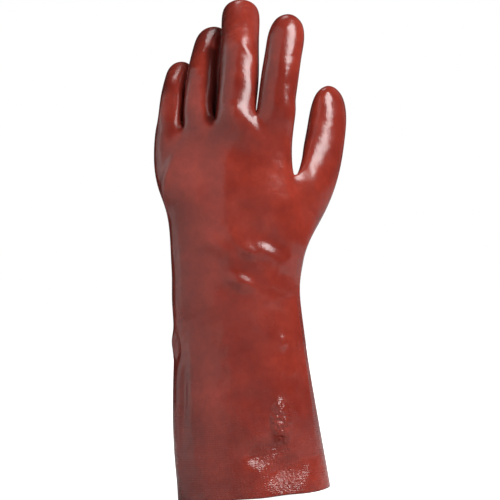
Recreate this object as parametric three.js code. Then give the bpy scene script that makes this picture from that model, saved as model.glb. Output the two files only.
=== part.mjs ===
// A long left-hand work glove: cotton jersey dipped whole in red PVC, so that it is one seamless
// hollow skin from the hem to the fingertips, open only at the hem.
// Frame: the hem's plane is Z = 0 with the opening's centre at the origin, and the forearm runs
// along +Z to the fingers. The back of the hand faces -Y and the thumb is on +X. Millimetres.
import * as THREE from 'three';

// Driving dimensions, in millimetres
const COATED_WALL = 1.6; // jersey and coat together
const GAUNTLET_LENGTH = 264; // hem to the knuckle line
const CUFF_WIDTH = 108.5;
const CUFF_DEPTH = 84;
const WRIST_WIDTH = 91;
const WRIST_DEPTH = 60;
const HAND_WIDTH = 99;
const HAND_DEPTH = 46;
const FINGER_LENGTH = 91; // middle finger, along its own line
const FINGER_WIDTH = 26.4;
const FINGER_DEPTH = 24.5;
const THUMB_LENGTH = 93;
const THUMB_WIDTH = 27;
const THUMB_DEPTH = 25;

// Rows of the gauntlet, hem first. along is a share of GAUNTLET_LENGTH. cuff, wrist and hand are
// the shares of the three widths and depths that the row mixes. thick scales its depth. shift moves
// its middle to the thumb's side, heel thickens the palm's side and arch drops the little finger's
// side towards the palm, as shares of the hand's width and depth. corner is the power of its
// superellipse: 2 is an ellipse.
const ROW_COLUMNS = ['along', 'cuff', 'wrist', 'hand', 'thick', 'shift', 'heel', 'arch', 'corner'];
const GAUNTLET_ROWS = [
  [0.0, 1.0, 0.0, 0.0, 1.0, 0.0, 0.0, 0.0, 2.2],
  [0.05, 0.92, 0.08, 0.0, 1.0, -0.004, 0.0, 0.0, 2.25],
  [0.136, 0.8, 0.2, 0.0, 1.0, -0.013, 0.0, 0.0, 2.35],
  [0.25, 0.55, 0.45, 0.0, 1.0, -0.016, 0.0, 0.0, 2.45],
  [0.36, 0.25, 0.75, 0.0, 1.0, -0.01, 0.0, 0.0, 2.45],
  [0.46, 0.04, 0.96, 0.0, 1.0, -0.003, 0.0, 0.0, 2.4],
  [0.53, 0.0, 1.0, 0.0, 1.0, 0.0, 0.0, 0.0, 2.4],
  [0.595, 0.0, 0.72, 0.28, 1.0, 0.026, 0.03, 0.0, 2.4],
  [0.655, 0.0, 0.05, 0.95, 1.12, 0.06, 0.1, 0.02, 2.45],
  [0.755, 0.0, 0.08, 0.903, 1.05, 0.052, 0.14, 0.06, 2.6],
  [0.835, 0.0, 0.0, 0.985, 1.0, 0.009, 0.1, 0.12, 2.7],
  [0.913, 0.0, 0.0, 1.0, 0.86, -0.001, 0.04, 0.3, 2.8],
].map((values) => Object.fromEntries(ROW_COLUMNS.map((name, i) => [name, values[i]])));
const THUMB_ROW = 8; // the row under the thumb's mouth, which is two rows tall

// Fingers from the little one to the index. left, right and deep place the root between its two
// webs, as shares of HAND_WIDTH and HAND_DEPTH, and high is a share of GAUNTLET_LENGTH. stout is
// the root's half depth over HAND_DEPTH. length is a share of the finger's, and width and depth
// are shares of its sizes at the root and at the tip. lean is towards the thumb, at root and tip,
// and curl towards the palm, at the four BENDS, in degrees. roll turns the section about the
// finger's line, at root and tip. dome is the tip's length over its half width.
const FINGERS = [
  {
    left: -0.474, right: -0.27, deep: 0.34, high: 0.99, stout: 0.3, length: 0.815, width: [0.68, 0.75],
    depth: [0.95, 0.68], lean: [7, 22], curl: [25, 38, 56, 64], roll: [-4, -38], dome: 1.3,
  },
  {
    left: -0.27, right: -0.032, deep: 0.24, high: 1.0, stout: 0.31, length: 1.06, width: [0.86, 0.91],
    depth: [1.0, 0.76], lean: [6, 22.5], curl: [21, 30, 50, 58], roll: [-6, -38], dome: 1.15,
  },
  {
    left: -0.032, right: 0.268, deep: 0.0, high: 1.01, stout: 0.335, length: 1.145, width: [1.07, 1.03],
    depth: [1.16, 0.92], lean: [9, 5.8], curl: [15, 23, 42, 46], roll: [0, 0], dome: 1.05,
  },
  {
    left: 0.268, right: 0.545, deep: 0.0, high: 1.0, stout: 0.27, length: 0.87, width: [1.03, 0.97],
    depth: [1.08, 0.93], lean: [11, 17], curl: [8, 14, 22, 28], roll: [0, 0], dome: 1.35,
  },
];
const BENDS = [0, 0.42, 0.6, 1]; // shares of a digit's length where its curl is given
const WEB_RISE = 0.016; // how far the webs stand above the knuckles, as a share of GAUNTLET_LENGTH
const WEB_ROOT = 0.008; // how far the valleys beside them start below the knuckles, likewise
const VALLEY = 0.8; // depth of the row at a web over its depth at a knuckle
const SIDE_INSET = 0.25; // of the root's half depth, by which the row's four end corners stand in
const FINGER_FIRST_RING = 0.14; // share of the length where the finger stands free of the hand
const FINGER_SQUARE = 0.3; // share of the length where its rings are square across its line
const FINGER_CORNER = 3; // power of the superellipse of a finger's section at its root

// The thumb, with the same columns as a finger. It leaves the hand's side, so its root faces +X.
const THUMB = {
  length: 1.095, width: [1.95, 1.1], depth: [1.35, 0.8], lean: [44, 12.4], curl: [26, 24, 22, 24],
  roll: [0, 48], dome: 1.35,
};
const THUMB_FIRST_RING = 0.18;
const THUMB_SQUARE = 0.65;
const THUMB_EASE = 3; // how fast the thumb's lean and sizes leave the root's, as a power
const THUMB_CORNER = 2; // its section is an ellipse from the root on
const ROUND_FROM = 0.55; // share of a digit's length where its section has turned to an ellipse

// Soft folds and dents of the coat. facing is the side they lie on, in degrees from the back round
// to the thumb's side. across is a share of HAND_WIDTH, to the right as seen from there, and along of
// GAUNTLET_LENGTH. turn is the fold's direction in degrees, from across towards the fingers. long and
// wide are shares of HAND_WIDTH, and rise is a share of COATED_WALL.
const FOLD_COLUMNS = ['facing', 'across', 'along', 'turn', 'long', 'wide', 'rise'];
const FOLDS = [
  [0, 0.0, 0.84, 92, 0.45, 0.1, 0.9],
  [0, 0.27, 0.672, -35, 0.2, 0.07, -0.7],
  [0, 0.2, 0.6, -25, 0.2, 0.07, 0.7],
  [0, 0.34, 0.575, -30, 0.12, 0.06, -0.7],
  [0, 0.39, 0.39, 88, 0.22, 0.05, 0.8],
  [0, -0.42, 0.2, 92, 0.45, 0.06, -1.0],
  [0, 0.25, 0.06, 25, 0.17, 0.1, -3.2],
  [0, 0.14, 0.112, 15, 0.2, 0.06, -2.0],
  [180, 0.0, 0.585, -4, 0.4, 0.09, -0.7],
  [180, 0.1, 0.8, 120, 0.25, 0.1, -1.4],
  [180, -0.3, 0.7, 125, 0.25, 0.14, 1.6],
  [180, 0.2, 0.25, 95, 0.6, 0.1, -0.9],
].map((values) => Object.fromEntries(FOLD_COLUMNS.map((name, i) => [name, values[i]])));
const HEM_WAVES = [
  { waves: 2, start: 20, height: 0.2 },
  { waves: 5, start: 65, height: 0.25 },
  { waves: 9, start: 10, height: 0.12 },
]; // heights are shares of COATED_WALL, and start is in degrees round from the thumb's side
const HEM_REACH = 0.06; // share of GAUNTLET_LENGTH over which the hem's wave dies out

// Every gauntlet row has this many points: eight steps across the back, eight across the palm and
// two on each side, so that each finger's root takes two of the steps on both faces.
const AROUND = 20;
const FINGER_STEPS = 2;
const palmColumn = (step) => 9 - step;
const backColumn = (step) => 11 + step;
const THUMB_SIDE = 0;
const LITTLE_SIDE = 10;

const FULL_TURN = 2 * Math.PI;
const radians = THREE.MathUtils.degToRad;
const mix = THREE.MathUtils.lerp;

// A coordinate of a superellipse: half its size times the power of the angle's cosine or sine.
function superellipse(half, ratio, corner) {
  return half * Math.sign(ratio) * Math.abs(ratio) ** (2 / corner);
}

// The value at a share of the way, run straight between the values at given stops.
function between(stops, values, share) {
  const next = Math.max(1, stops.findIndex((stop) => stop >= share));
  const part = (share - stops[next - 1]) / (stops[next] - stops[next - 1]);
  return mix(values[next - 1], values[next], part);
}

// One row of the gauntlet as points round the forearm, from the thumb's side over the palm.
function gauntletRow(row) {
  const halfWidth = (row.cuff * CUFF_WIDTH + row.wrist * WRIST_WIDTH + row.hand * HAND_WIDTH) / 2;
  const depth = row.cuff * CUFF_DEPTH + row.wrist * WRIST_DEPTH + row.hand * HAND_DEPTH;
  const halfDepth = (row.thick * depth) / 2;
  const points = [];
  for (let column = 0; column < AROUND; column += 1) {
    const angle = (FULL_TURN * column) / AROUND;
    const heel = Math.sin(angle) > 0 ? row.heel * HAND_DEPTH : 0;
    const x = row.shift * HAND_WIDTH + superellipse(halfWidth, Math.cos(angle), row.corner);
    const drop = row.arch * HAND_DEPTH * (0.5 - x / HAND_WIDTH);
    points.push(new THREE.Vector3(
      x,
      drop + superellipse(halfDepth + heel, Math.sin(angle), row.corner),
      row.along * GAUNTLET_LENGTH,
    ));
  }
  return points;
}

// The knuckle row: each finger's root has a middle and two corners on the back and on the palm,
// and neighbours share their corners. Also returns the webs, which join back corner to palm corner.
function knuckleRow() {
  const row = new Array(AROUND);
  const webs = [];
  for (let step = 0; step <= FINGERS.length * FINGER_STEPS; step += 1) {
    const onFinger = step % FINGER_STEPS === 1;
    const right = FINGERS[Math.min(Math.floor(step / FINGER_STEPS), FINGERS.length - 1)];
    const left = FINGERS[Math.max(Math.ceil(step / FINGER_STEPS) - 1, 0)];
    const end = step === 0 || step === FINGERS.length * FINGER_STEPS;
    const x = HAND_WIDTH * (onFinger ? (right.left + right.right) / 2 : step === 0 ? right.left : left.right);
    const y = (HAND_DEPTH * (left.deep + right.deep)) / 2;
    const z = (GAUNTLET_LENGTH * (left.high + right.high)) / 2;
    const half = (HAND_DEPTH * (left.stout + right.stout)) / 2;
    const reach = onFinger ? half : half * VALLEY;
    const cornerX = x - (end ? Math.sign(x) * half * SIDE_INSET : 0);
    const cornerZ = z - (onFinger ? 0 : WEB_ROOT * GAUNTLET_LENGTH);
    row[backColumn(step)] = new THREE.Vector3(cornerX, y - reach, cornerZ);
    row[palmColumn(step)] = new THREE.Vector3(cornerX, y + reach, cornerZ);
    if (end) row[step === 0 ? LITTLE_SIDE : THUMB_SIDE] = new THREE.Vector3(x, y, z);
    else if (!onFinger) webs.push(new THREE.Vector3(x, y, z + WEB_RISE * GAUNTLET_LENGTH));
  }
  return { row, webs };
}

// A control net: points, and quads of point numbers that face outwards.
class Net {
  points = [];

  quads = [];

  add(point) {
    return this.points.push(point) - 1;
  }

  addAll(points) {
    return points.map((point) => this.add(point));
  }

  // Joins two rings of point numbers, both counted the same way round.
  band(lower, upper, skipped = () => false) {
    for (let i = 0; i < lower.length; i += 1) {
      const next = (i + 1) % lower.length;
      if (!skipped(i)) this.quads.push([lower[i], lower[next], upper[next], upper[i]]);
    }
  }
}

// The digit's own directions at a lean and a curl: along it, across it and through its depth.
function digitFrame(lean, curl) {
  const along = new THREE.Vector3(
    Math.sin(lean) * Math.cos(curl), Math.sin(curl), Math.cos(lean) * Math.cos(curl),
  );
  const across = new THREE.Vector3(Math.cos(lean), 0, -Math.sin(lean));
  return { along, across, depth: new THREE.Vector3().crossVectors(along, across) };
}

const PATH_STEPS = 200;
const STRAIGHT_RINGS = 5;
const DOME_RINGS = [radians(38), radians(66)];

// Grows a finger or the thumb from a root ring of eight points, and closes it with a domed tip.
// Its line turns from the root's lean and curl to the tip's. facing is the root ring's own lean, and
// the rings turn from it until they are square across the line. ease is how fast the root is left,
// and rootCorner is the power of the section's superellipse at the root.
function growDigit(net, root, digit, sizes, { firstRing, square, facing, ease, rootCorner }) {
  const length = digit.length * sizes.length;
  const at = (pair, share) => mix(pair[1], pair[0], (1 - share) ** ease);
  const lean = (share) => radians(at(digit.lean, share));
  const curl = (share) => radians(between(BENDS, digit.curl, share));
  const line = [root.reduce((sum, i) => sum.add(net.points[i]), new THREE.Vector3())
    .divideScalar(root.length)];
  for (let step = 0; step < PATH_STEPS; step += 1) {
    const share = (step + 0.5) / PATH_STEPS;
    line.push(line[step].clone().addScaledVector(
      digitFrame(lean(share), curl(share)).along, length / PATH_STEPS,
    ));
  }
  const domeStart = 1 - (digit.dome * digit.width[1] * sizes.width) / 2 / length;
  const stations = [];
  for (let ring = 0; ring < STRAIGHT_RINGS; ring += 1) {
    stations.push({ share: mix(firstRing, domeStart, ring / (STRAIGHT_RINGS - 1)), scale: 1 });
  }
  for (const angle of DOME_RINGS) {
    stations.push({ share: mix(domeStart, 1, Math.sin(angle)), scale: Math.cos(angle) });
  }
  let last = root;
  for (const { share, scale } of stations) {
    const centre = line[Math.round(share * PATH_STEPS)];
    const turned = Math.min(1, share / square);
    const frame = digitFrame(mix(facing, lean(share), turned), curl(share) * turned);
    const roll = radians(mix(digit.roll[0], digit.roll[1], share));
    const wide = frame.across.clone().multiplyScalar(Math.cos(roll))
      .addScaledVector(frame.depth, Math.sin(roll));
    const thick = frame.depth.clone().multiplyScalar(Math.cos(roll))
      .addScaledVector(frame.across, -Math.sin(roll));
    const corner = 2 + (rootCorner - 2) * Math.max(0, 1 - share / ROUND_FROM) ** 2;
    const halfWidth = scale * at(digit.width, share) * sizes.width / 2;
    const halfDepth = scale * at(digit.depth, share) * sizes.depth / 2;
    const ring = root.map((_, i) => {
      const angle = (FULL_TURN * i) / root.length - roll;
      return net.add(centre.clone()
        .addScaledVector(wide, superellipse(halfWidth, Math.cos(angle), corner))
        .addScaledVector(thick, superellipse(halfDepth, Math.sin(angle), corner)));
    });
    net.band(last, ring);
    last = ring;
  }
  const tip = net.add(line[PATH_STEPS].clone());
  for (let i = 0; i < last.length; i += 2) {
    net.quads.push([last[i], last[i + 1], last[(i + 2) % last.length], tip]);
  }
}

// The whole glove's net, whose points lie on the finished skin.
function gloveNet() {
  const net = new Net();
  const knuckles = knuckleRow();
  const rows = [...GAUNTLET_ROWS.map(gauntletRow), knuckles.row];
  const grid = rows.map((row, r) => row.map((point, column) => (
    r === THUMB_ROW + 1 && column === THUMB_SIDE ? -1 : net.add(point))));
  const besideThumb = [AROUND - 1, THUMB_SIDE, 1];
  const inMouth = (r) => r === THUMB_ROW || r === THUMB_ROW + 1;
  for (let r = 0; r + 1 < grid.length; r += 1) {
    net.band(grid[r], grid[r + 1], (column) => inMouth(r) && besideThumb.slice(0, 2).includes(column));
  }
  const webs = [grid.at(-1)[LITTLE_SIDE], ...net.addAll(knuckles.webs), grid.at(-1)[THUMB_SIDE]];
  FINGERS.forEach((finger, k) => {
    const top = grid.at(-1);
    const [near, middle, far] = [2 * k, 2 * k + 1, 2 * k + 2];
    const root = [
      webs[k + 1], top[palmColumn(far)], top[palmColumn(middle)], top[palmColumn(near)],
      webs[k], top[backColumn(near)], top[backColumn(middle)], top[backColumn(far)],
    ];
    const sizes = { length: FINGER_LENGTH, width: FINGER_WIDTH, depth: FINGER_DEPTH };
    const growth = {
      firstRing: FINGER_FIRST_RING, square: FINGER_SQUARE, facing: 0, ease: 1, rootCorner: FINGER_CORNER,
    };
    growDigit(net, root, finger, sizes, growth);
  });
  const [low, middle, high] = [grid[THUMB_ROW], grid[THUMB_ROW + 1], grid[THUMB_ROW + 2]];
  const [back, side, palm] = besideThumb;
  const thumbRoot = [
    low[side], low[palm], middle[palm], high[palm], high[side], high[back], middle[back], low[back],
  ];
  const thumbSizes = { length: THUMB_LENGTH, width: THUMB_WIDTH, depth: THUMB_DEPTH };
  const thumbGrowth = {
    firstRing: THUMB_FIRST_RING, square: THUMB_SQUARE, facing: radians(90), ease: THUMB_EASE,
    rootCorner: THUMB_CORNER,
  };
  growDigit(net, thumbRoot, THUMB, thumbSizes, thumbGrowth);
  return net;
}

// What touches each point and each edge of a net.
function neighbours(net) {
  const edges = new Map();
  const around = net.points.map(() => ({ edges: [], opposite: [], quads: [] }));
  net.quads.forEach((quad, q) => quad.forEach((a, i) => {
    const b = quad[(i + 1) % 4];
    const key = a < b ? `${a} ${b}` : `${b} ${a}`;
    if (!edges.has(key)) {
      const edge = { a, b, quads: [] };
      edges.set(key, edge);
      around[a].edges.push(edge);
      around[b].edges.push(edge);
    }
    edges.get(key).quads.push(q);
    around[a].opposite.push(quad[(i + 2) % 4]);
    around[a].quads.push(q);
  }));
  return { edges, around };
}

const otherEnd = (edge, point) => (edge.a === point ? edge.b : edge.a);

// Where Catmull-Clark subdivision would bring each point after endless steps.
function limitPoints(net) {
  const { around } = neighbours(net);
  return net.points.map((point, p) => {
    const rim = around[p].edges.filter((edge) => edge.quads.length === 1);
    if (rim.length > 0) {
      const sum = point.clone().multiplyScalar(4);
      rim.forEach((edge) => sum.add(net.points[otherEnd(edge, p)]));
      return sum.divideScalar(6);
    }
    const valence = around[p].edges.length;
    const sum = point.clone().multiplyScalar(valence * valence);
    around[p].edges.forEach((edge) => sum.addScaledVector(net.points[otherEnd(edge, p)], 4));
    around[p].opposite.forEach((i) => sum.add(net.points[i]));
    return sum.divideScalar(valence * (valence + 5));
  });
}

// One step of Catmull-Clark subdivision.
function subdivide(net) {
  const { edges, around } = neighbours(net);
  const average = (list) => list.reduce((sum, point) => sum.add(point), new THREE.Vector3())
    .divideScalar(list.length);
  const faceCentres = net.quads.map((quad) => average(quad.map((i) => net.points[i])));
  const finer = new Net();
  net.points.forEach((point, p) => {
    const rim = around[p].edges.filter((edge) => edge.quads.length === 1);
    if (rim.length > 0) {
      const sum = point.clone().multiplyScalar(6);
      rim.forEach((edge) => sum.add(net.points[otherEnd(edge, p)]));
      finer.add(sum.divideScalar(8));
      return;
    }
    const valence = around[p].edges.length;
    const middles = average(around[p].edges.map((edge) => average([point, net.points[otherEnd(edge, p)]])));
    const faces = average(around[p].quads.map((q) => faceCentres[q]));
    finer.add(faces.addScaledVector(middles, 2).addScaledVector(point, valence - 3).divideScalar(valence));
  });
  for (const edge of edges.values()) {
    const ends = [net.points[edge.a], net.points[edge.b]];
    edge.number = finer.add(edge.quads.length === 1
      ? average(ends)
      : average([...ends, ...edge.quads.map((q) => faceCentres[q])]));
  }
  const numberOf = (a, b) => edges.get(a < b ? `${a} ${b}` : `${b} ${a}`).number;
  net.quads.forEach((quad, q) => {
    const centre = finer.add(faceCentres[q]);
    quad.forEach((a, i) => {
      finer.quads.push([a, numberOf(a, quad[(i + 1) % 4]), centre, numberOf(quad[(i + 3) % 4], a)]);
    });
  });
  return finer;
}

const FIT_ROUNDS = 12;

// Moves a net's points outwards until its limit surface runs through where they were.
function fitted(net) {
  const targets = net.points.map((point) => point.clone());
  for (let round = 0; round < FIT_ROUNDS; round += 1) {
    const limits = limitPoints(net);
    net.points.forEach((point, p) => point.add(targets[p]).sub(limits[p]));
  }
  return net;
}

// Lets the hem wave and presses the folds into the skin.
function folded(skin) {
  const outwards = normals(skin);
  skin.points.forEach((point, i) => {
    const { x, y, z } = point;
    for (const fold of FOLDS) {
      const turn = radians(fold.turn);
      const side = { x: Math.sin(radians(fold.facing)), y: -Math.cos(radians(fold.facing)) };
      const dx = (y * side.x - x * side.y) / HAND_WIDTH - fold.across;
      const dz = (z - fold.along * GAUNTLET_LENGTH) / HAND_WIDTH;
      const along = (dx * Math.cos(turn) + dz * Math.sin(turn)) / fold.long;
      const off = (dz * Math.cos(turn) - dx * Math.sin(turn)) / fold.wide;
      const seen = outwards[i].x * side.x + outwards[i].y * side.y;
      const rise = fold.rise * COATED_WALL * THREE.MathUtils.smoothstep(seen, 0, 0.5)
        * Math.exp(-(along ** 2) - off ** 2);
      point.addScaledVector(outwards[i], rise);
    }
    const angle = Math.atan2(y, x);
    const fade = Math.max(0, 1 - z / (HEM_REACH * GAUNTLET_LENGTH)) ** 2;
    for (const wave of HEM_WAVES) {
      point.z += fade * wave.height * COATED_WALL * Math.sin(wave.waves * (angle - radians(wave.start)));
    }
  });
  return skin;
}

// Outward unit normals at a net's points.
function normals(net) {
  const found = net.points.map(() => new THREE.Vector3());
  for (const quad of net.quads) {
    const [a, b, c, d] = quad.map((i) => net.points[i]);
    const normal = new THREE.Vector3().crossVectors(c.clone().sub(a), d.clone().sub(b));
    quad.forEach((i) => found[i].add(normal));
  }
  return found.map((normal) => normal.normalize());
}

// The closed solid between an outer skin and the same skin a wall further in, joined at the hem.
function wallGeometry(outer) {
  const count = outer.points.length;
  const outwards = normals(outer);
  const inner = outer.points.map((point, i) => point.clone().addScaledVector(outwards[i], -COATED_WALL));
  const quads = outer.quads.flatMap((quad) => [quad, quad.map((i) => i + count).reverse()]);
  for (const edge of neighbours(outer).edges.values()) {
    if (edge.quads.length === 1) {
      const quad = outer.quads[edge.quads[0]];
      const forward = quad[(quad.indexOf(edge.a) + 1) % 4] === edge.b;
      const [a, b] = forward ? [edge.a, edge.b] : [edge.b, edge.a];
      quads.push([b, a, a + count, b + count]);
    }
  }
  const points = [...outer.points, ...inner];
  const triangles = quads.flatMap(([a, b, c, d]) => (
    points[a].distanceTo(points[c]) < points[b].distanceTo(points[d])
      ? [a, b, c, a, c, d]
      : [a, b, d, b, c, d]));
  const geometry = new THREE.BufferGeometry();
  geometry.setAttribute('position', new THREE.Float32BufferAttribute(points.flatMap((p) => p.toArray()), 3));
  geometry.setIndex(triangles);
  geometry.computeVertexNormals();
  return geometry;
}

function coatedSkin() {
  const skin = subdivide(fitted(gloveNet()));
  skin.points = limitPoints(skin);
  folded(skin);
  const redPvc = new THREE.MeshStandardMaterial({ color: 0x8c2f28, roughness: 0.28, metalness: 0 });
  const mesh = new THREE.Mesh(wallGeometry(skin), redPvc);
  mesh.name = 'coated_glove';
  return mesh;
}

const glove = new THREE.Group();
glove.add(coatedSkin());

export default glove;
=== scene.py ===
"""A long left-hand work glove dipped in red PVC, filled out as when it is worn, on a pale floor.

Metres, in the part's own frame: the hem's opening is centred on the origin, the forearm runs along
+Z, the back of the hand faces -Y and the thumb is on +X.
"""

import math

import bpy
import numpy as np
from mathutils import Matrix, Vector


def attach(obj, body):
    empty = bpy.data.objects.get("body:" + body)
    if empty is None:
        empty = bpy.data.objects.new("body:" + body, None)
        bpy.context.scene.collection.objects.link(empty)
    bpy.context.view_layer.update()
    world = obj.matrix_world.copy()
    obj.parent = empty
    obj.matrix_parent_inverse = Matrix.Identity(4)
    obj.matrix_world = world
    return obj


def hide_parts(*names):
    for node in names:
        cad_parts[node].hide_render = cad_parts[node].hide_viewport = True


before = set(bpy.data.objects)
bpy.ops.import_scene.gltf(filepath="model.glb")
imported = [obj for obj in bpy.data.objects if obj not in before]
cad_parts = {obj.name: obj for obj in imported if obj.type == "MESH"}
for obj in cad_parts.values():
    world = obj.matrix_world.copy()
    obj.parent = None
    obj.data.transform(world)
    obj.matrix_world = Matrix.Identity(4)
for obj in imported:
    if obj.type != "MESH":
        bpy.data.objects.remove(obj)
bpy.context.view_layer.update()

# The coated skin: cotton jersey cut and sewn to a hand, pulled over a porcelain former and dipped
# whole in liquid PVC, then cured and cut off straight at the hem. It is one seamless hollow wall,
# so it is one surface in millimetres: a coarse net of the hand's main lines, rounded and folded.
MM = 0.001
COATED_WALL = 1.6
GAUNTLET_LENGTH = 264
CUFF_SIZE = np.array([108.5, 84])
WRIST_SIZE = np.array([91, 60])
HAND_SIZE = np.array([99, 46])
HAND_WIDTH, HAND_DEPTH = HAND_SIZE
FINGER_SIZE = dict(length=91, width=26.4, depth=24.5)
THUMB_SIZE = dict(length=93, width=27, depth=25)
AROUND = 20
FIT_ROUNDS = 12
ROUNDING = 3

# One line for each row of the gauntlet, hem first. along is a share of its length. cuff, wrist and
# hand are the shares of the three sizes in the mix. thick scales the depth. shift moves the row to
# the thumb's side, heel thickens its palm and arch drops the little finger's side towards the palm,
# as shares of the hand's width and depth. corner is the power of its superellipse.
GAUNTLET_COLUMNS = ("along", "cuff", "wrist", "hand", "thick", "shift", "heel", "arch", "corner")
GAUNTLET_ROWS = np.array([
    (0.0, 1.0, 0.0, 0.0, 1.0, 0.0, 0.0, 0.0, 2.2),
    (0.05, 0.92, 0.08, 0.0, 1.0, -0.004, 0.0, 0.0, 2.25),
    (0.136, 0.8, 0.2, 0.0, 1.0, -0.013, 0.0, 0.0, 2.35),
    (0.25, 0.55, 0.45, 0.0, 1.0, -0.016, 0.0, 0.0, 2.45),
    (0.36, 0.25, 0.75, 0.0, 1.0, -0.01, 0.0, 0.0, 2.45),
    (0.46, 0.04, 0.96, 0.0, 1.0, -0.003, 0.0, 0.0, 2.4),
    (0.53, 0.0, 1.0, 0.0, 1.0, 0.0, 0.0, 0.0, 2.4),
    (0.595, 0.0, 0.72, 0.28, 1.0, 0.026, 0.03, 0.0, 2.4),
    (0.655, 0.0, 0.05, 0.95, 1.12, 0.06, 0.1, 0.02, 2.45),
    (0.755, 0.0, 0.08, 0.903, 1.05, 0.052, 0.14, 0.06, 2.6),
    (0.835, 0.0, 0.0, 0.985, 1.0, 0.009, 0.1, 0.12, 2.7),
    (0.913, 0.0, 0.0, 1.0, 0.86, -0.001, 0.04, 0.3, 2.8),
])

# From the little finger to the index. left, right, deep and high place the root between its two
# webs, as shares of the hand's width and depth and the gauntlet's length, and stout is the root's
# half depth over the hand's depth. length, width and depth are shares of the finger's size, the last
# two at root and tip. lean is towards the thumb and roll about the finger's line, in degrees at root
# and tip, and curl is towards the palm, in degrees at each of the BENDS. dome is the tip's length
# over its half width.
FINGERS = [
    dict(left=-0.474, right=-0.27, deep=0.34, high=0.99, stout=0.3, length=0.815, width=(0.68, 0.75),
         depth=(0.95, 0.68), lean=(7, 22), curl=(25, 38, 56, 64), roll=(-4, -38), dome=1.3),
    dict(left=-0.27, right=-0.032, deep=0.24, high=1.0, stout=0.31, length=1.06, width=(0.86, 0.91),
         depth=(1.0, 0.76), lean=(6, 22.5), curl=(21, 30, 50, 58), roll=(-6, -38), dome=1.15),
    dict(left=-0.032, right=0.268, deep=0.0, high=1.01, stout=0.335, length=1.145, width=(1.07, 1.03),
         depth=(1.16, 0.92), lean=(9, 5.8), curl=(15, 23, 42, 46), roll=(0, 0), dome=1.05),
    dict(left=0.268, right=0.545, deep=0.0, high=1.0, stout=0.27, length=0.87, width=(1.03, 0.97),
         depth=(1.08, 0.93), lean=(11, 17), curl=(8, 14, 22, 28), roll=(0, 0), dome=1.35),
]
THUMB = dict(length=1.095, width=(1.95, 1.1), depth=(1.35, 0.8), lean=(44, 12.4),
             curl=(26, 24, 22, 24), roll=(0, 48), dome=1.35)
BENDS = (0, 0.42, 0.6, 1)
THUMB_ROW = 8  # the row under the thumb's mouth, which is two rows tall
WEB_RISE = 0.016  # of the webs over the knuckles, as a share of the gauntlet's length
WEB_ROOT = 0.008  # of the valleys beside them under the knuckles, likewise
VALLEY = 0.8  # the knuckle row's depth at a web over its depth at a knuckle
SIDE_INSET = 0.25  # of the root's half depth, by which the row's four end corners stand in

# How a digit leaves the hand. Its rings stand free from first_ring on and square across its line
# from square on, as shares of its length. facing is the way its root looks, in degrees from the
# fingers to the thumb's side. ease is the power by which lean and sizes leave the root's values, and
# root_corner the power of its superellipse at the root, which is an ellipse from ROUND_FROM on.
FINGER_ROOT = dict(first_ring=0.14, square=0.3, facing=0, ease=1, root_corner=3)
THUMB_ROOT = dict(first_ring=0.18, square=0.65, facing=90, ease=3, root_corner=2)
ROUND_FROM = 0.55
RING_POINTS = 8
LINE_STEPS = 200
STRAIGHT_RINGS = 5
DOME_RINGS = (38, 66)  # degrees up the tip's dome from where it starts


def power_wave(ratio, corner):
    """A cosine or sine with its size raised to 2 / corner, which squares a circle's corners."""
    return np.sign(ratio) * np.abs(ratio) ** (2 / corner)


def gauntlet_rows():
    """Superellipse rows: a point is the half size times the angle's powered cosine and sine."""
    row = dict(zip(GAUNTLET_COLUMNS, GAUNTLET_ROWS.T[:, :, None]))
    angle = np.arange(AROUND)[None, :] * 2 * np.pi / AROUND
    sizes = zip(CUFF_SIZE, WRIST_SIZE, HAND_SIZE)
    width, depth = (row["cuff"] * cuff + row["wrist"] * wrist + row["hand"] * hand
                    for cuff, wrist, hand in sizes)
    half_depth = row["thick"] * depth / 2 + np.where(np.sin(angle) > 0, row["heel"] * HAND_DEPTH, 0)
    x = row["shift"] * HAND_WIDTH + width / 2 * power_wave(np.cos(angle), row["corner"])
    y = half_depth * power_wave(np.sin(angle), row["corner"])
    y = y + row["arch"] * HAND_DEPTH * (0.5 - x / HAND_WIDTH)
    z = np.broadcast_to(row["along"] * GAUNTLET_LENGTH, x.shape)
    return np.stack([x, y, z], axis=2)


def knuckle_row():
    """The last row of the hand, and the webs over it.

    Each finger's root takes two of its steps across the hand, one at a web and one at the knuckle,
    and each step gives a point on the back and one on the palm, half the root's depth from the
    middle.
    """
    row = np.zeros((AROUND, 3))
    webs = []
    last_step = 2 * len(FINGERS)
    back_start, palm_start = AROUND // 2 + 1, AROUND // 2 - 1
    for step in range(last_step + 1):
        right = FINGERS[min(step // 2, len(FINGERS) - 1)]
        left = FINGERS[max((step + 1) // 2 - 1, 0)]
        at_knuckle, at_end = step % 2 == 1, step in (0, last_step)
        if at_knuckle:
            x = (right["left"] + right["right"]) / 2
        else:
            x = right["left"] if step == 0 else left["right"]
        middle = np.array([x * HAND_WIDTH, (left["deep"] + right["deep"]) / 2 * HAND_DEPTH,
                           (left["high"] + right["high"]) / 2 * GAUNTLET_LENGTH])
        half = (left["stout"] + right["stout"]) / 2 * HAND_DEPTH
        reach = half * (1 if at_knuckle else VALLEY)
        inward = np.sign(x) * half * SIDE_INSET if at_end else 0
        drop = 0 if at_knuckle else WEB_ROOT * GAUNTLET_LENGTH
        row[back_start + step] = middle - (inward, reach, drop)
        row[palm_start - step] = middle - (inward, -reach, drop)
        if at_end:
            row[AROUND // 2 if step == 0 else 0] = middle
        elif not at_knuckle:
            webs.append(middle + (0, 0, WEB_RISE * GAUNTLET_LENGTH))
    return row, np.array(webs)


def heading(lean, curl):
    """Unit vectors from up, leaning to the thumb and curling to the palm: the lean's sine and cosine
    times the curl's cosine, and the curl's sine."""
    return np.stack([np.sin(lean) * np.cos(curl), np.sin(curl), np.cos(lean) * np.cos(curl)], axis=-1)


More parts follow.
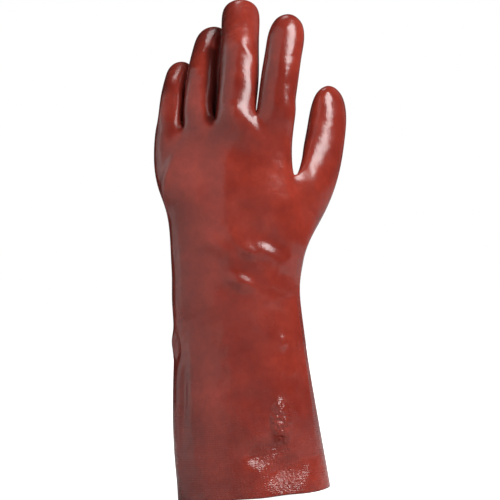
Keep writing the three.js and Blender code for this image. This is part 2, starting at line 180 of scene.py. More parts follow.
class Net:
    """Points, and quads with a flat map of the knit in millimetres at each of their corners."""

    def __init__(self):
        self.points, self.quads, self.knit = [], [], []

    def add(self, points):
        """Adds points and gives their places in the list."""
        first = len(self.points)
        self.points.extend(np.atleast_2d(points))
        return list(range(first, len(self.points)))

    def band(self, lower, upper, low_map, high_map, step, skipped=()):
        """Quads between two rings that are counted the same way round, step apart on the map."""
        for i in range(len(lower)):
            if i not in skipped:
                j = (i + 1) % len(lower)
                left, right = i * step, (i + 1) * step
                self.quads.append([lower[i], lower[j], upper[j], upper[i]])
                self.knit.append([(left, low_map), (right, low_map), (right, high_map), (left, high_map)])

    def cap(self, ring, tip, ring_map, tip_map, step):
        """Closes a ring with quads that each take two of its steps and meet at the tip."""
        for i in range(0, len(ring), 2):
            j, k = i + 1, (i + 2) % len(ring)
            self.quads.append([ring[i], ring[j], ring[k], tip])
            self.knit.append([(i * step, ring_map), ((i + 1) * step, ring_map),
                              ((i + 2) * step, ring_map), ((i + 1) * step, tip_map)])


def grow_digit(net, root, digit, size, first_ring, square, facing, ease, root_corner):
    """Rings of eight points along a line whose lean and curl run from the root's to the tip's.

    The line is the running sum of its headings. The rings turn from the root's own heading to square
    across the line, and shrink as a sphere's slices do to close the tip.
    """
    def at(name, share):
        from_root, at_tip = digit[name]
        return at_tip + (from_root - at_tip) * (1 - share) ** ease

    def bent(share):
        return np.radians(at("lean", share)), np.radians(np.interp(share, BENDS, digit["curl"]))

    length = digit["length"] * size["length"]
    start = np.mean([net.points[i] for i in root], axis=0)
    headings = heading(*bent((np.arange(LINE_STEPS) + 0.5) / LINE_STEPS))
    line = np.vstack([start, start + np.cumsum(headings, axis=0) * length / LINE_STEPS])

    dome_start = 1 - digit["dome"] * digit["width"][1] * size["width"] / 2 / length
    dome = np.radians(DOME_RINGS)
    straight = np.linspace(first_ring, dome_start, STRAIGHT_RINGS)
    shares = [*straight, *dome_start + (1 - dome_start) * np.sin(dome)]
    scales = [*np.ones(STRAIGHT_RINGS), *np.cos(dome)]
    step = np.pi * size["width"] / RING_POINTS
    facing = math.radians(facing)
    last, last_share = root, 0
    for share, scale in zip(shares, scales):
        roll = math.radians(digit["roll"][0] + (digit["roll"][1] - digit["roll"][0]) * share)
        angle = np.arange(RING_POINTS)[:, None] * 2 * np.pi / RING_POINTS - roll
        turned = min(1, share / square)
        lean, curl = bent(share)
        lean, curl = facing + (lean - facing) * turned, curl * turned
        across = np.array([np.cos(lean), 0, -np.sin(lean)])
        through = np.cross(heading(lean, curl), across)
        wide = across * math.cos(roll) + through * math.sin(roll)
        thick = through * math.cos(roll) - across * math.sin(roll)
        half_width = scale * at("width", share) * size["width"] / 2
        half_depth = scale * at("depth", share) * size["depth"] / 2
        corner = 2 + (root_corner - 2) * max(0, 1 - share / ROUND_FROM) ** 2
        ring = net.add(line[int(math.floor(share * LINE_STEPS + 0.5))]
                       + half_width * power_wave(np.cos(angle), corner) * wide
                       + half_depth * power_wave(np.sin(angle), corner) * thick)
        net.band(last, ring, last_share * length, share * length, step)
        last, last_share = ring, share
    net.cap(last, net.add(line[-1])[0], last_share * length, length, step)


def glove_net():
    """The whole hand: the gauntlet's grid, four fingers on its last row and the thumb on its side.

    A digit starts from the eight points round its hole. A finger's lie at the web after it, on the
    palm, at the web before it and on the back.
    """
    net = Net()
    last_row, webs = knuckle_row()
    rows = np.concatenate([gauntlet_rows(), last_row[None]])
    grid = [net.add(row) for row in rows]
    step = np.pi * HAND_WIDTH / AROUND
    for r in range(len(rows) - 1):
        mouth = (AROUND - 1, 0) if r in (THUMB_ROW, THUMB_ROW + 1) else ()
        net.band(grid[r], grid[r + 1], rows[r][0][2], rows[r + 1][0][2], step, mouth)
    top = grid[-1]
    half = AROUND // 2
    webs = [top[half], *net.add(webs), top[0]]
    for k, finger in enumerate(FINGERS):
        near, mid, far = 2 * k, 2 * k + 1, 2 * k + 2
        palm = [top[half - 1 - i] for i in (far, mid, near)]
        back = [top[(half + 1 + i) % AROUND] for i in (near, mid, far)]
        grow_digit(net, [webs[k + 1], *palm, webs[k], *back], finger, FINGER_SIZE, **FINGER_ROOT)
    low, mid, high = grid[THUMB_ROW:THUMB_ROW + 3]
    mouth = [low[0], low[1], mid[1], high[1], high[0], high[-1], mid[-1], low[-1]]
    grow_digit(net, mouth, THUMB, THUMB_SIZE, **THUMB_ROOT)
    used, quads = np.unique(np.array(net.quads), return_inverse=True)
    return np.array(net.points)[used], quads.reshape(-1, 4), np.array(net.knit)


def edges_of(quads):
    """Each edge once, which edge every side of every quad is, and how many quads an edge has."""
    sides = np.sort(np.stack([quads, np.roll(quads, -1, axis=1)], axis=2).reshape(-1, 2), axis=1)
    edges, which, count = np.unique(sides, axis=0, return_inverse=True, return_counts=True)
    return edges, which.reshape(-1, 4), count


def summed(index, values, length):
    """Adds up the rows of values that share an index."""
    return np.stack([np.bincount(index, values[:, k], length) for k in range(3)], axis=1)


def hem_neighbours(points, edges, count):
    """The points on the hem, whose edges have one quad, and the sum of each one's two neighbours."""
    hem = edges[count == 1]
    on_hem = np.unique(hem)
    return on_hem, summed(hem.ravel(), points[hem[:, ::-1].ravel()], len(points))[on_hem]


def limit_points(points, quads):
    """Where endless Catmull-Clark steps would bring each point: n squared parts of itself, four of
    each neighbour and one of each opposite corner. On the hem, four of itself and one of each side."""
    edges, _, count = edges_of(quads)
    size = len(points)
    valence = np.bincount(edges.ravel(), minlength=size)[:, None]
    near = summed(edges.ravel(), points[edges[:, ::-1].ravel()], size)
    far = summed(quads.ravel(), points[np.roll(quads, 2, axis=1).ravel()], size)
    limits = (valence**2 * points + 4 * near + far) / (valence * (valence + 5))
    on_hem, beside = hem_neighbours(points, edges, count)
    limits[on_hem] = (4 * points[on_hem] + beside) / 6
    return limits


def subdivide(points, quads, knit):
    """One Catmull-Clark step.

    Each quad gains its centre, and each edge the mean of its ends and its two quads' centres. A
    point moves to the mean of its quads' centres, twice its edges' middles and n - 3 of itself. On
    the hem, edges gain their middles and points are six parts of themselves and one of each side.
    """
    edges, which, count = edges_of(quads)
    size = len(points)
    centres = points[quads].mean(axis=1)
    middles = points[edges].mean(axis=1)
    corner_centres = np.repeat(centres, 4, axis=0)
    beside_edges = summed(which.ravel(), corner_centres, len(edges))
    edge_points = np.where(count[:, None] == 2, (2 * middles + beside_edges) / 4, middles)
    valence = np.bincount(edges.ravel(), minlength=size)[:, None]
    quad_count = np.bincount(quads.ravel(), minlength=size)[:, None]
    faces = summed(quads.ravel(), corner_centres, size) / quad_count
    sides = summed(edges.ravel(), np.repeat(middles, 2, axis=0), size) / valence
    moved = (faces + 2 * sides + (valence - 3) * points) / valence
    on_hem, beside = hem_neighbours(points, edges, count)
    moved[on_hem] = (6 * points[on_hem] + beside) / 8

    side = size + which
    centre = size + len(edges) + np.arange(len(quads))
    finer = np.stack([np.stack([quads[:, i], side[:, i], centre, side[:, i - 1]], axis=1)
                      for i in range(4)], axis=1)
    knit_centre = knit.mean(axis=1)
    knit_side = (knit + np.roll(knit, -1, axis=1)) / 2
    finer_knit = np.stack([np.stack([knit[:, i], knit_side[:, i], knit_centre, knit_side[:, i - 1]], axis=1)
                           for i in range(4)], axis=1)
    return np.concatenate([moved, edge_points, centres]), finer.reshape(-1, 4), finer_knit.reshape(-1, 4, 2)


def outward(points, quads):
    """Unit normals at the points, from the cross product of each quad's diagonals."""
    a, b, c, d = (points[quads[:, i]] for i in range(4))
    normals = summed(quads.ravel(), np.repeat(np.cross(c - a, d - b), 4, axis=0), len(points))
    return normals / np.linalg.norm(normals, axis=1, keepdims=True)


# Soft folds and dents of the coat. facing is the side they lie on, in degrees from the back round to
# the thumb's side. across is a share of the hand's width, to the right as seen from there, and along
# is a share of the gauntlet's length. turn is the fold's direction in degrees, from across towards
# the fingers. long and wide are shares of the hand's width, and rise of the wall.
FOLD_COLUMNS = ("facing", "across", "along", "turn", "long", "wide", "rise")
FOLDS = [
    (0, 0.0, 0.84, 92, 0.45, 0.1, 0.9),
    (0, 0.27, 0.672, -35, 0.2, 0.07, -0.7),
    (0, 0.2, 0.6, -25, 0.2, 0.07, 0.7),
    (0, 0.34, 0.575, -30, 0.12, 0.06, -0.7),
    (0, 0.39, 0.39, 88, 0.22, 0.05, 0.8),
    (0, -0.42, 0.2, 92, 0.45, 0.06, -1.0),
    (0, 0.25, 0.06, 25, 0.17, 0.1, -3.2),
    (0, 0.14, 0.112, 15, 0.2, 0.06, -2.0),
    (180, 0.0, 0.585, -4, 0.4, 0.09, -0.7),
    (180, 0.1, 0.8, 120, 0.25, 0.1, -1.4),
    (180, -0.3, 0.7, 125, 0.25, 0.14, 1.6),
    (180, 0.2, 0.25, 95, 0.6, 0.1, -0.9),
]
# Finer ones that the part's solid doesn't have, in the same columns: dents at the wrist, dents over
# the hem, wrinkles on the middle finger and the hand, ridges down the gauntlet's sides, and last a
# thicker flank on the ring finger, which closes the gap beside the middle finger.
CREASES = [
    (0, 0.228, 0.642, -35, 0.08, 0.045, 1.5),
    (0, 0.13, 0.64, -20, 0.06, 0.035, 1.6),
    (0, 0.045, 0.567, -25, 0.09, 0.045, 1.9),
    (0, 0.05, 0.672, -42, 0.12, 0.045, 0.9),
    (0, -0.03, 0.655, -50, 0.08, 0.05, 0.8),
    (0, -0.12, 0.672, -45, 0.1, 0.05, 0.8),
    (0, 0.3, 0.397, 60, 0.045, 0.035, 1.2),
    (0, 0.05, 0.11, -22, 0.09, 0.055, -2.6),
    (0, 0.2, 0.135, 15, 0.1, 0.05, -2.9),
    (0, 0.25, 0.075, 15, 0.13, 0.09, -2.8),
    (0, 0.262, 1.175, -57, 0.09, 0.022, 0.5),
    (0, -0.15, 0.968, 20, 0.05, 0.03, 0.5),
    (70, -0.01, 0.33, 88, 0.5, 0.03, 0.6),
    (80, 0.0, 0.53, 92, 0.22, 0.03, 0.5),
    (-90, 0.05, 0.42, 88, 0.08, 0.035, 1.2),
    (-60, -0.03, 0.26, 87, 0.4, 0.035, -1.0),
    (-60, 0.06, 0.2, 92, 0.3, 0.035, 0.8),
    (-60, -0.142, 0.858, 85, 0.2, 0.035, 0.9),
    (-75, 0.0, 0.4, 90, 0.09, 0.06, -1.4),
    (90, 0.17, 1.075, 90, 0.2, 0.07, 0.8),
]
# How many waves the hem has round it, the angle in degrees where they start, and their height as a
# share of the wall. They fade out at HEM_REACH, a share of the gauntlet's length.
HEM_WAVES = ((2, 20, 0.2), (5, 65, 0.25), (9, 10, 0.12))
HEM_REACH = 0.06
FACING_FADE = 0.5  # the cosine between a normal and a fold's side from which the fold is whole


def ease(low, high, value):
    """0 below low, 1 above high, and a cubic curve between them."""
    t = np.clip((value - low) / (high - low), 0, 1)
    return t * t * (3 - 2 * t)


def folded(points, quads):
    """Adds each fold as a long Gaussian ridge along the normal, and the hem's sine waves."""
    normals = outward(points, quads)
    moved = points.copy()
    for line in FOLDS + CREASES:
        fold = dict(zip(FOLD_COLUMNS, line))
        turn, facing = math.radians(fold["turn"]), math.radians(fold["facing"])
        dx = (points[:, 0] * math.cos(facing) + points[:, 1] * math.sin(facing)) / HAND_WIDTH - fold["across"]
        dz = (points[:, 2] - fold["along"] * GAUNTLET_LENGTH) / HAND_WIDTH
        along = (dx * math.cos(turn) + dz * math.sin(turn)) / fold["long"]
        off = (dz * math.cos(turn) - dx * math.sin(turn)) / fold["wide"]
        towards = normals[:, 0] * math.sin(facing) - normals[:, 1] * math.cos(facing)
        rise = fold["rise"] * COATED_WALL * ease(0, FACING_FADE, towards) * np.exp(-along**2 - off**2)
        moved += normals * rise[:, None]
    angle = np.arctan2(points[:, 1], points[:, 0])
    fade = np.clip(1 - points[:, 2] / (HEM_REACH * GAUNTLET_LENGTH), 0, 1) ** 2
    for waves, start, height in HEM_WAVES:
        moved[:, 2] += fade * height * COATED_WALL * np.sin(waves * (angle - math.radians(start)))
    return moved


# The net is moved until its limit runs through the points that were set, rounded, and folded. The
# lining is the skin moved in by the wall along its normals, and a rim of quads joins them at the hem.
points, quads, knit = glove_net()
targets = points.copy()
for _ in range(FIT_ROUNDS):
    points = points + targets - limit_points(points, quads)
for _ in range(ROUNDING):
    points, quads, knit = subdivide(points, quads, knit)
skin = folded(limit_points(points, quads), quads)
lining = skin - COATED_WALL * outward(skin, quads)
skin_size = len(skin)
_, which, count = edges_of(quads)
quad, side = np.argwhere(count[which] == 1).T
start, end = quads[quad, side], quads[quad, (side + 1) % 4]
rim = np.stack([end, start, start + skin_size, end + skin_size], axis=1)
knit_start, knit_end = knit[quad, side], knit[quad, (side + 1) % 4]
rim_knit = np.stack([knit_end, knit_start, knit_start, knit_end], axis=1)
all_points = np.concatenate([skin, lining]) * MM
all_quads = np.concatenate([quads, quads[:, ::-1] + skin_size, rim])
all_knit = np.concatenate([knit, knit[:, ::-1], rim_knit])

mesh = bpy.data.meshes.new("coated_skin")
mesh.vertices.add(len(all_points))
mesh.vertices.foreach_set("co", all_points.ravel())
mesh.loops.add(all_quads.size)
mesh.loops.foreach_set("vertex_index", all_quads.ravel())
mesh.polygons.add(len(all_quads))
mesh.polygons.foreach_set("loop_start", np.arange(len(all_quads)) * 4)
mesh.polygons.foreach_set("material_index", np.repeat([0, 1, 2], [len(quads), len(quads), len(rim)]))
mesh.polygons.foreach_set("use_smooth", np.ones(len(all_quads), bool))
mesh.update(calc_edges=True)
mesh.validate()
mesh.uv_layers.new(name="knit").data.foreach_set("uv", (all_knit * MM).ravel())

# Painted shade: strips between the ring and middle fingers, between the little and ring fingers,
# and down the little finger's back, where the fingers shade each other, are darkened and lose their
# gloss, which hides the key light's highlight there. One line for each strip: where it starts and
# ends, across and along, as shares of the hand's width and the gauntlet's length, its half width as a
# share of the hand's, and how dark it gets.
SHADED_SLOTS = [
    ((-0.05, 1.012), (-0.005, 1.2), 0.064, 1.0),
    ((-0.28, 0.995), (-0.25, 1.1), 0.04, 0.75),
    ((-0.355, 0.98), (-0.33, 1.13), 0.05, 0.42),
]
THUMB_SIDE_REACH = 0.6  # how far a strip of painted shade reaches to the thumb's side over how far to the other


def painted_slot_shade(points):
    """The painted shade between the fingers: the largest over the strips of its depth times exp(-d^4), where
    d is the distance from its line in half widths.
    """
    flat_points = points[:, [0, 2]]
    most = np.zeros(len(points))
    for start, end, half_width, depth in SHADED_SLOTS:
        start, end = (np.array(stop) * (HAND_WIDTH, GAUNTLET_LENGTH) for stop in (start, end))
        share = np.clip((flat_points - start) @ (end - start) / np.sum((end - start) ** 2), 0, 1)
        apart = flat_points - start - share[:, None] * (end - start)
        reach = half_width * HAND_WIDTH * np.where(apart[:, 0] > 0, THUMB_SIDE_REACH, 1)
        most = np.maximum(most, depth * np.exp(-(np.linalg.norm(apart, axis=1) / reach) ** 4))
    return most


# The painted shade between the fingers is kept on the skin's points, and wall_depth runs from the skin to the
# lining.
for name, values in (("painted_slot_shade", np.concatenate([painted_slot_shade(skin), np.zeros(skin_size)])),
                     ("wall_depth", np.repeat([0.0, 1.0], skin_size))):
    mesh.attributes.new(name, "FLOAT", "POINT").data.foreach_set("value", values)
glove = bpy.data.objects.new("glove_skin", mesh)
bpy.context.collection.objects.link(glove)


def linear(hex_colour):
    """An sRGB hex colour as linear red, green, blue and alpha: a twelfth of the dark values, and the
    power 2.4 of the others."""
    values = [int(hex_colour[i:i + 2], 16) / 255 for i in (1, 3, 5)]
    return tuple(v / 12.92 if v <= 0.04045 else ((v + 0.055) / 1.055) ** 2.4 for v in values) + (1,)


def cells(size):
    """The scale of a noise whose cells have this size in millimetres: one over it in metres."""
    return 1 / (size * MM)


def node(tree, kind, settings=(), **inputs):
    """Adds a node, sets its properties, then sets or links its inputs.

    An input goes by its name, or by _ and its place where names repeat. A node that is given as an
    input stands for its first output in use.
    """
    added = tree.nodes.new(kind)
    for name, value in dict(settings).items():
        setattr(added, name, value)
    for name, value in inputs.items():
        if name[0] == "_":
            socket = added.inputs[int(name[1:])]
        else:
            socket = next(s for s in added.inputs if s.enabled and s.name == name.replace("_", " "))
        if isinstance(value, bpy.types.Node):
            value = next(output for output in value.outputs if output.enabled)
        if isinstance(value, bpy.types.NodeSocket):
            tree.links.new(value, socket)
        else:
            socket.default_value = value
    return added


def new_material(name):
    """A material with an empty tree."""
    material = bpy.data.materials.new(name)
    material.use_nodes = True
    material.node_tree.nodes.clear()
    return material, material.node_tree


# The jersey's stitches in millimetres, drawn about twice as coarse as real ones so that they show.
WALE = 1.9
COURSE = 1.5
STITCH_LEAN = 0.45  # of a course, by which a stitch's middle stands over its sides


def stitches(tree, flat):
    """Rows of stitches: the size of sin(pi u) times 0.5 + 0.5 cos(2 pi (v + lean)), where u and v
    count wales and courses, and lean makes each stitch a V."""
    split = node(tree, "ShaderNodeSeparateXYZ", Vector=flat)
    turn = node(tree, "ShaderNodeMath", {"operation": "MULTIPLY"}, _0=split.outputs["X"],
                _1=math.pi / (WALE * MM))
    wave = node(tree, "ShaderNodeMath", {"operation": "SINE"}, _0=turn)
    rib = node(tree, "ShaderNodeMath", {"operation": "ABSOLUTE"}, _0=wave)
    courses = node(tree, "ShaderNodeMath", {"operation": "MULTIPLY"}, _0=split.outputs["Y"],
                   _1=1 / (COURSE * MM))
    leaned = node(tree, "ShaderNodeMath", {"operation": "MULTIPLY_ADD"}, _0=rib, _1=STITCH_LEAN, _2=courses)
    phase = node(tree, "ShaderNodeMath", {"operation": "MULTIPLY"}, _0=leaned, _1=2 * math.pi)
    loop = node(tree, "ShaderNodeMath", {"operation": "COSINE"}, _0=phase)
    loop = node(tree, "ShaderNodeMath", {"operation": "MULTIPLY_ADD"}, _0=loop, _1=0.5, _2=0.5)
    return node(tree, "ShaderNodeMath", {"operation": "MULTIPLY"}, _0=loop, _1=rib)


def near(tree, place, centre, radii, turn):
    """1 well inside an ellipsoid and 0 outside it, from the distance to its centre in radii. turn
    lifts its first radius from across towards the fingers, in degrees."""
    scaled = node(tree, "ShaderNodeMapping", {"vector_type": "TEXTURE"}, Vector=place,
                  Location=[MM * value for value in centre], Rotation=(0, -math.radians(turn), 0),
                  Scale=[MM * value for value in radii])
    reach = node(tree, "ShaderNodeVectorMath", {"operation": "LENGTH"}, _0=scaled)
    return node(tree, "ShaderNodeMapRange", {"interpolation_type": "SMOOTHSTEP"}, Value=reach,
                From_Min=1.0, From_Max=0.4, To_Min=0.0, To_Max=1.0)


def coat_colour(tree, place, slot_shade):
    """Red that drifts between a deep and a bright tone, with darker flecks, and painted shade that darkens
    the strips between the fingers.
    """
    drift = node(tree, "ShaderNodeTexNoise", Vector=place, Scale=cells(38.5), Detail=4.0, Roughness=0.6)
    drift = node(tree, "ShaderNodeMapRange", Value=drift, From_Min=0.35, From_Max=0.65)
    red = node(tree, "ShaderNodeMix", {"data_type": "RGBA"}, Factor=drift, A=linear("#7E281E"),
               B=linear("#9F382A"))
    flecks = node(tree, "ShaderNodeTexNoise", Vector=place, Scale=cells(5.26), Detail=3.0, Roughness=0.6)
    flecks = node(tree, "ShaderNodeMapRange", Value=flecks, From_Min=0.35, From_Max=0.65, To_Max=0.35)
    red = node(tree, "ShaderNodeMix", {"data_type": "RGBA"}, Factor=flecks, A=red, B=linear("#7E2720"))
    # Painted shade: the strips between the fingers turn towards this dark red.
    deep = node(tree, "ShaderNodeMath", {"operation": "POWER"}, _0=slot_shade, _1=2.0)
    return node(tree, "ShaderNodeMix", {"data_type": "RGBA"}, Factor=deep, A=red, B=linear("#4A1A16"))


# Marks on the gauntlet's back, over the hem on the thumb's side, in millimetres: a column of small
# blisters, and two patches where the coat dried thin and creped over the yarn.
BLISTERS = dict(centre=(23.5, -40, 49), radii=(9, 30, 22), turn=0)
LOW_PATCH = dict(centre=(24.3, -40, 10.5), radii=(18.5, 30, 13.5), turn=25)
HIGH_PATCH = dict(centre=(16.5, -40, 28.5), radii=(20.5, 30, 9.5), turn=24)
KNIT_SHOWS_BELOW = 45
KNIT_HIDDEN_ABOVE = 100


def coat_relief(tree, place, flat):
    """The coat's normal, from five bumps one over another: waves, orange peel, the knit where the
    coat is thin, blisters, and creping."""
    waves = node(tree, "ShaderNodeTexNoise", Vector=place, Scale=cells(26.3), Detail=2.0, Roughness=0.45)
    normal = node(tree, "ShaderNodeBump", Strength=1.0, Distance=2.1 * MM, Height=waves)
    peel = node(tree, "ShaderNodeTexNoise", Vector=place, Scale=cells(4.17), Detail=3.0, Roughness=0.6)
    normal = node(tree, "ShaderNodeBump", Strength=1.0, Distance=0.2 * MM, Height=peel, Normal=normal)

    height = node(tree, "ShaderNodeSeparateXYZ", Vector=place)
    thin = node(tree, "ShaderNodeMapRange", {"interpolation_type": "SMOOTHSTEP"},
                Value=height.outputs["Z"], From_Min=KNIT_HIDDEN_ABOVE * MM, From_Max=KNIT_SHOWS_BELOW * MM,
                To_Min=0.06, To_Max=1.0)
    uneven = node(tree, "ShaderNodeTexNoise", Vector=place, Scale=cells(13.3), Detail=2.0)
    uneven = node(tree, "ShaderNodeMapRange", Value=uneven, From_Min=0.35, From_Max=0.6, To_Min=0.25)
    shown = node(tree, "ShaderNodeMath", {"operation": "MULTIPLY"}, _0=thin, _1=uneven)
    knit_height = node(tree, "ShaderNodeMath", {"operation": "MULTIPLY"}, _0=stitches(tree, flat), _1=shown)
    normal = node(tree, "ShaderNodeBump", Strength=1.0, Distance=0.14 * MM, Height=knit_height,
                  Normal=normal)

    blisters = node(tree, "ShaderNodeTexNoise", Vector=place, Scale=cells(4.35), Detail=1.0)
    blisters = node(tree, "ShaderNodeMath", {"operation": "MULTIPLY"}, _0=blisters,
                    _1=near(tree, place, **BLISTERS))
    normal = node(tree, "ShaderNodeBump", Strength=1.0, Distance=4 * MM, Height=blisters, Normal=normal)

    patches = node(tree, "ShaderNodeMath", {"operation": "MAXIMUM"}, _0=near(tree, place, **LOW_PATCH),
                   _1=near(tree, place, **HIGH_PATCH))
    crepe = node(tree, "ShaderNodeTexNoise", Vector=place, Scale=cells(2.13), Detail=2.0, Roughness=0.55)
    crepe = node(tree, "ShaderNodeMath", {"operation": "SUBTRACT"}, _0=crepe, _1=0.5)
    crepe = node(tree, "ShaderNodeMath", {"operation": "MULTIPLY"}, _0=crepe, _1=patches)
    return node(tree, "ShaderNodeBump", Strength=1.0, Distance=1.1 * MM, Height=crepe, Normal=normal)


def plasticised_pvc():
    """The coat: soft PVC that levelled out while it was liquid, so it is glossy and a little wavy.
    On the strips of painted shade between the fingers its colour is darkened and its gloss turned
    down, which hides the highlight there."""
    material, tree = new_material("plasticised_pvc")
    coordinates = node(tree, "ShaderNodeTexCoord")
    place, flat = coordinates.outputs["Object"], coordinates.outputs["UV"]
    slot_shade = node(tree, "ShaderNodeAttribute", {"attribute_name": "painted_slot_shade"}).outputs["Fac"]
    # Painted shade: the gloss falls on the strips between the fingers that are painted darker.
    shine = node(tree, "ShaderNodeMapRange", Value=slot_shade, From_Max=0.6, To_Min=0.5, To_Max=0.04)
    haze = node(tree, "ShaderNodeTexNoise", Vector=place, Scale=cells(22.2), Detail=3.0)
    haze = node(tree, "ShaderNodeMapRange", Value=haze, From_Min=0.3, From_Max=0.7, To_Min=0.16, To_Max=0.29)
    shader = node(tree, "ShaderNodeBsdfPrincipled", Base_Color=coat_colour(tree, place, slot_shade),
                  Specular_IOR_Level=shine, Roughness=haze, IOR=1.5, Normal=coat_relief(tree, place, flat))
    node(tree, "ShaderNodeOutputMaterial", Surface=shader)
    return material


def cotton_jersey():
    """Inside, unbleached cotton: fine ribs of stitches with fluff on them, stained in blotches where
    the PVC bled through. It is matt, so the inside of the hem looks soft and pale."""
    material, tree = new_material("cotton_jersey")
    coordinates = node(tree, "ShaderNodeTexCoord")
    place, flat = coordinates.outputs["Object"], coordinates.outputs["UV"]
    loops = stitches(tree, flat)
    yarn = node(tree, "ShaderNodeMix", {"data_type": "RGBA"}, Factor=loops, A=linear("#8F7F70"),
                B=linear("#CDBFAE"))
    stain = node(tree, "ShaderNodeTexNoise", Vector=place, Scale=cells(16.7), Detail=4.0)
    stain = node(tree, "ShaderNodeMapRange", Value=stain, From_Min=0.5, From_Max=0.75, To_Max=0.7)
    stained = node(tree, "ShaderNodeMix", {"data_type": "RGBA"}, Factor=stain, A=yarn, B=linear("#A5655A"))
    fluff = node(tree, "ShaderNodeTexNoise", Vector=place, Scale=cells(0.714), Detail=3.0)
    normal = node(tree, "ShaderNodeBump", Strength=1.0, Distance=0.1 * MM, Height=fluff)
    normal = node(tree, "ShaderNodeBump", Strength=1.0, Distance=0.4 * MM, Height=loops, Normal=normal)
    shader = node(tree, "ShaderNodeBsdfPrincipled", Base_Color=stained, Roughness=0.92, Sheen_Weight=0.25,
                  Normal=normal)
    node(tree, "ShaderNodeOutputMaterial", Surface=shader)
    return material


YARN_DEPTH = 0.68  # where the cut yarns lie in the wall, as a share of it from the outside


def cut_pvc_edge():
    """The hem's cut edge, which the knife left matt: a thick layer of PVC, the jersey's cut yarns in
    a pale broken line, and a thin layer where the PVC came through."""
    material, tree = new_material("cut_pvc_edge")
    place = node(tree, "ShaderNodeTexCoord").outputs["Object"]
    depth = node(tree, "ShaderNodeAttribute", {"attribute_name": "wall_depth"}).outputs["Fac"]
    frayed = node(tree, "ShaderNodeTexNoise", Vector=place, Scale=cells(1.43), Detail=2.0)
    wander = node(tree, "ShaderNodeMath", {"operation": "MULTIPLY_ADD"}, _0=frayed, _1=0.5, _2=-0.25)
    layer = node(tree, "ShaderNodeMath", {"operation": "ADD"}, _0=depth, _1=wander)
    from_yarn = node(tree, "ShaderNodeMath", {"operation": "SUBTRACT"}, _0=layer, _1=YARN_DEPTH)
    from_yarn = node(tree, "ShaderNodeMath", {"operation": "ABSOLUTE"}, _0=from_yarn)
    yarns = node(tree, "ShaderNodeMapRange", Value=from_yarn, From_Min=0.2, From_Max=0.1, To_Max=0.8)
    colour = node(tree, "ShaderNodeMix", {"data_type": "RGBA"}, Factor=yarns, A=linear("#7A2A24"),
                  B=linear("#BFA79A"))
    normal = node(tree, "ShaderNodeBump", Strength=1.0, Distance=0.1 * MM, Height=frayed)
    shader = node(tree, "ShaderNodeBsdfPrincipled", Base_Color=colour, Roughness=0.6, Normal=normal)
    node(tree, "ShaderNodeOutputMaterial", Surface=shader)
    return material


for material in (plasticised_pvc(), cotton_jersey(), cut_pvc_edge()):
    mesh.materials.append(material)
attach(glove, "root")
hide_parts("coated_glove")

# The floor: a wide sheet of matt white paper just under the hem. The camera sees it as plain white,
# and the glove sees the paper.
FLOOR_REACH = 8
lowest = float(all_points[:, 2].min())
corners = [(-FLOOR_REACH, -FLOOR_REACH, lowest), (FLOOR_REACH, -FLOOR_REACH, lowest),
           (FLOOR_REACH, FLOOR_REACH, lowest), (-FLOOR_REACH, FLOOR_REACH, lowest)]
floor_mesh = bpy.data.meshes.new("floor")
floor_mesh.from_pydata(corners, [], [(0, 1, 2, 3)])
floor = bpy.data.objects.new("floor", floor_mesh)
bpy.context.collection.objects.link(floor)
paper, tree = new_material("matt_white_paper")
shader = node(tree, "ShaderNodeBsdfPrincipled", Base_Color=linear("#D8D8D8"), Roughness=0.9,
              Emission_Color=(1, 1, 1, 1),
              Emission_Strength=node(tree, "ShaderNodeLightPath").outputs["Is Camera Ray"])
node(tree, "ShaderNodeOutputMaterial", Surface=shader)
floor_mesh.materials.append(paper)

# The camera stands level with the glove's middle, and is rolled so that the glove leans as it does
# in the photograph. Distances are in metres.
CAMERA_DISTANCE = 1.5
FRAME_SPAN = 0.355
SENSOR_WIDTH = 36
ROLL = math.radians(5.3)
aim = Vector((0.013, 0, 0.1713))
camera = bpy.data.cameras.new("camera")
camera.lens = SENSOR_WIDTH * CAMERA_DISTANCE / FRAME_SPAN
camera_object = bpy.data.objects.new("camera", camera)
bpy.context.collection.objects.link(camera_object)
right = Vector((math.cos(ROLL), 0, -math.sin(ROLL)))
up = Vector((math.sin(ROLL), 0, math.cos(ROLL)))
facing = Matrix((right, up, right.cross(up))).transposed().to_4x4()
camera_object.matrix_world = Matrix.Translation(aim - Vector((0, CAMERA_DISTANCE, 0))) @ facing
bpy.context.scene.camera = camera_object


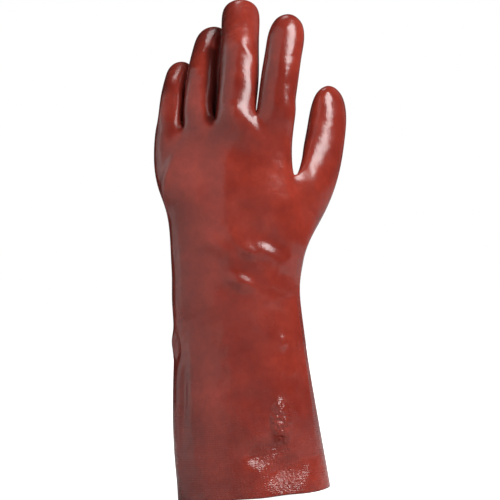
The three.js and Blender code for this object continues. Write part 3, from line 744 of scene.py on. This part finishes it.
def softbox(name, azimuth, elevation, distance, width, height, radiance, turn=0):
    """A rectangular light that faces the glove. azimuth is from the camera towards the thumb, and
    its power is radiance times area times pi."""
    a, e = math.radians(azimuth), math.radians(elevation)
    towards = Vector((math.sin(a) * math.cos(e), -math.cos(a) * math.cos(e), math.sin(e)))
    lamp = bpy.data.lights.new(name, "AREA")
    lamp.shape = "RECTANGLE"
    lamp.size, lamp.size_y = width, height
    lamp.energy = radiance * width * height * math.pi
    lamp_object = bpy.data.objects.new(name, lamp)
    bpy.context.collection.objects.link(lamp_object)
    facing_glove = towards.to_track_quat("Z", "Y").to_matrix().to_4x4()
    lamp_object.matrix_world = (Matrix.Translation(aim + distance * towards) @ facing_glove
                                @ Matrix.Rotation(math.radians(turn), 4, "Z"))
    return lamp_object


# The key gives the bright streaks on the fingers, and the panels the grey sheen on the left third.
# The fills light the red from the front and from behind, and don't show in the gloss.
softbox("key_right", azimuth=59, elevation=47, distance=1.3, width=0.6, height=0.85, radiance=12.5)
panel = softbox("panel_left", azimuth=-56, elevation=25, distance=1.4, width=2.4, height=2.6,
                radiance=0.85, turn=10)
panel.visible_diffuse = False
softbox("panel_far_left", azimuth=-105, elevation=10, distance=1.4, width=0.9, height=1.8, radiance=0.8)
softbox("top_light", azimuth=180, elevation=66, distance=1.2, width=0.3, height=0.3, radiance=3.2)
softbox("rim_right", azimuth=135, elevation=20, distance=1.4, width=0.5, height=1.2, radiance=0.15)
softbox("front_card", azimuth=8, elevation=5, distance=2.3, width=2.0, height=1.6, radiance=0.15)
front = softbox("front_fill", azimuth=2, elevation=0, distance=1.7, width=1.0, height=0.34, radiance=4.1)
front.visible_glossy = False
back = softbox("back_fill", azimuth=180, elevation=15, distance=2.0, width=1.4, height=1.4, radiance=2.2)
back.visible_glossy = False

# The room: white to the camera and nearly black to the glove, so that its edges stay dark.
ROOM_GLOW = 0.03
world = bpy.data.worlds.new("studio")
bpy.context.scene.world = world
world.use_nodes = True
tree = world.node_tree
tree.nodes.clear()
camera_ray = node(tree, "ShaderNodeLightPath").outputs["Is Camera Ray"]
backdrop = node(tree, "ShaderNodeBackground", Color=(1, 1, 1, 1), Strength=1.0)
room = node(tree, "ShaderNodeBackground", Color=(1, 1, 1, 1), Strength=ROOM_GLOW)
both = node(tree, "ShaderNodeMixShader", _0=camera_ray, _1=room, _2=backdrop)
node(tree, "ShaderNodeOutputWorld", Surface=both)
bpy.context.scene.view_settings.view_transform = "Standard"
